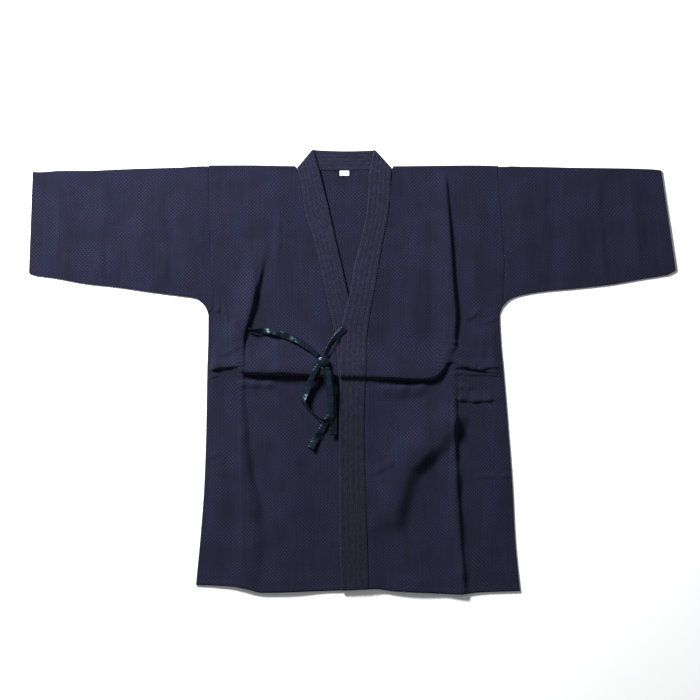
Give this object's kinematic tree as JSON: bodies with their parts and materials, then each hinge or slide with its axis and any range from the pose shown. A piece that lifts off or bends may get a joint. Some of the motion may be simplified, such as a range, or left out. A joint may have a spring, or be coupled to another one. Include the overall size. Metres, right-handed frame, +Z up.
{
  "type": "kendo jacket",
  "caption": "Woven cotton kendo jacket laid out flat, front up, left over right, with a quilted collar band and tape ties in a bow.",
  "frame": {"origin": "centre of the laid-out jacket's bounding box, on the surface that it lies on", "axes": "+X across the sleeves, from the wearer's right sleeve to the left one; +Y from the hem to the collar; +Z up out of the front"},
  "size_m": [1.2926, 0.8898, 0.0235],
  "materials": {
    "cloth": "indigo-dyed rice-grain weave",
    "collar": "indigo-dyed twill, quilted in rows",
    "tie": "dyed plain cotton tape",
    "label": "blank white woven label"
  },
  "bodies": {
    "root": {"body_right": "cloth", "body_left": "cloth", "sleeve_right": "cloth", "sleeve_left": "cloth", "collar_band": "collar", "tie_side": "tie", "tie_front": "tie", "tie_tail_long": "tie", "tie_tail_short": "tie", "tie_loop": "tie", "tie_knot": "tie", "neck_label": "label"}
  },
  "joints": []
}
